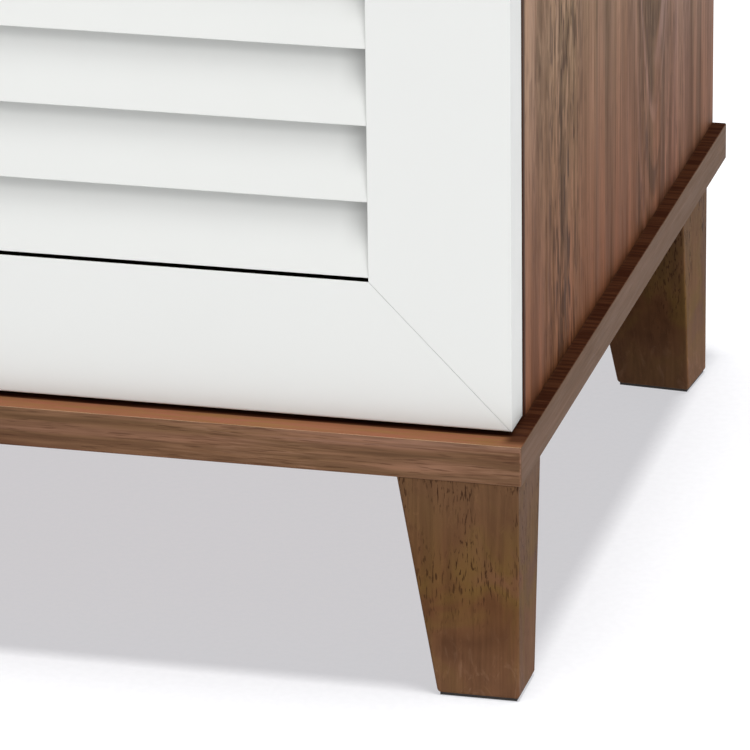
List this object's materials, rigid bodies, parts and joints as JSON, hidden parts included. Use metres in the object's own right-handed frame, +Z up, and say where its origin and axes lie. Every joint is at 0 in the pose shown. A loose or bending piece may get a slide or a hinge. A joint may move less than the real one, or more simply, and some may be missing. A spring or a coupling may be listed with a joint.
{
  "type": "shoe cabinet",
  "caption": "Free-standing shoe cabinet with two hinged louvred doors, inner shelves and a walnut carcass on tapered wooden legs.",
  "frame": {"origin": "centre of the footprint, knobs included, on the floor under the feet", "axes": "+X to the right as seen from the front, +Y to the back, +Z up"},
  "size_m": [0.8, 0.4116, 0.9038],
  "materials": {
    "walnut_laminate": "satin walnut laminate with visible grain",
    "stained_wood": "satin dark walnut stain on solid wood",
    "white_lacquer": "satin white lacquer",
    "hardboard": "matte printed hardboard",
    "beech": "raw beech",
    "zinc_steel": "bright zinc plate",
    "nickel_steel": "nickel plate",
    "brushed_nickel": "brushed nickel",
    "dark_plastic": "matte dark brown plastic"
  },
  "bodies": {
    "carcass": {"base_board": "walnut_laminate", "top_board": "walnut_laminate", "side_panel_left": "walnut_laminate", "side_panel_right": "walnut_laminate", "centre_divider": "walnut_laminate", "back_panel": "hardboard", "shelf_left_1": "walnut_laminate", "shelf_left_2": "walnut_laminate", "shelf_left_3": "walnut_laminate", "shelf_left_4": "walnut_laminate", "shelf_right_1": "walnut_laminate", "shelf_right_2": "walnut_laminate", "shelf_right_3": "walnut_laminate", "shelf_right_4": "walnut_laminate", "shelf_pins": "zinc_steel", "dowels": "beech", "cam_bolts": "zinc_steel", "cam_discs": "zinc_steel", "leg_front_left": "stained_wood", "leg_front_right": "stained_wood", "leg_rear_left": "stained_wood", "leg_rear_right": "stained_wood", "leg_bolts": "zinc_steel", "leg_inserts": "zinc_steel", "foot_pads": "dark_plastic", "hinge_plates_left": "nickel_steel", "hinge_plates_right": "nickel_steel", "hinge_arms_left": "nickel_steel", "hinge_arms_right": "nickel_steel", "hinge_arm_pins_left": "nickel_steel", "hinge_arm_pins_right": "nickel_steel", "hinge_plate_screws": "zinc_steel", "magnet_catches": "dark_plastic", "catch_screws": "zinc_steel"},
    "links_left": {"hinge_links_left": "nickel_steel"},
    "links_right": {"hinge_links_right": "nickel_steel"},
    "door_left": {"door_left_outer_stile": "white_lacquer", "door_left_inner_stile": "white_lacquer", "door_left_top_rail": "white_lacquer", "door_left_bottom_rail": "white_lacquer", "door_left_louvres": "white_lacquer", "knob_left": "brushed_nickel", "knob_bolt_left": "zinc_steel", "hinge_cups_left": "nickel_steel", "hinge_cup_pins_left": "nickel_steel", "hinge_cup_screws_left": "zinc_steel", "strike_plate_left": "zinc_steel"},
    "door_right": {"door_right_outer_stile": "white_lacquer", "door_right_inner_stile": "white_lacquer", "door_right_top_rail": "white_lacquer", "door_right_bottom_rail": "white_lacquer", "door_right_louvres": "white_lacquer", "knob_right": "brushed_nickel", "knob_bolt_right": "zinc_steel", "hinge_cups_right": "nickel_steel", "hinge_cup_pins_right": "nickel_steel", "hinge_cup_screws_right": "zinc_steel", "strike_plate_right": "zinc_steel"}
  },
  "joints": [
    {"name": "link_swing_left", "type": "hinge", "parent": "carcass", "child": "links_left", "pos_m": [-0.37, -0.1672, 0.4964], "axis": [0, 0, -1], "range_deg": [-28.3, 1]},
    {"name": "door_swing_left", "type": "hinge", "parent": "links_left", "child": "door_left", "pos_m": [-0.386, -0.1702, 0.4964], "axis": [0, 0, -1], "range_deg": [0, 127]},
    {"name": "link_swing_right", "type": "hinge", "parent": "carcass", "child": "links_right", "pos_m": [0.37, -0.1672, 0.4964], "axis": [0, 0, 1], "range_deg": [-28.3, 1]},
    {"name": "door_swing_right", "type": "hinge", "parent": "links_right", "child": "door_right", "pos_m": [0.386, -0.1702, 0.4964], "axis": [0, 0, 1], "range_deg": [0, 127]}
  ],
  "couplings": [
    {"joint": "link_swing_left", "follows": "door_swing_left", "ratio": -0.22},
    {"joint": "link_swing_right", "follows": "door_swing_right", "ratio": -0.22}
  ]
}
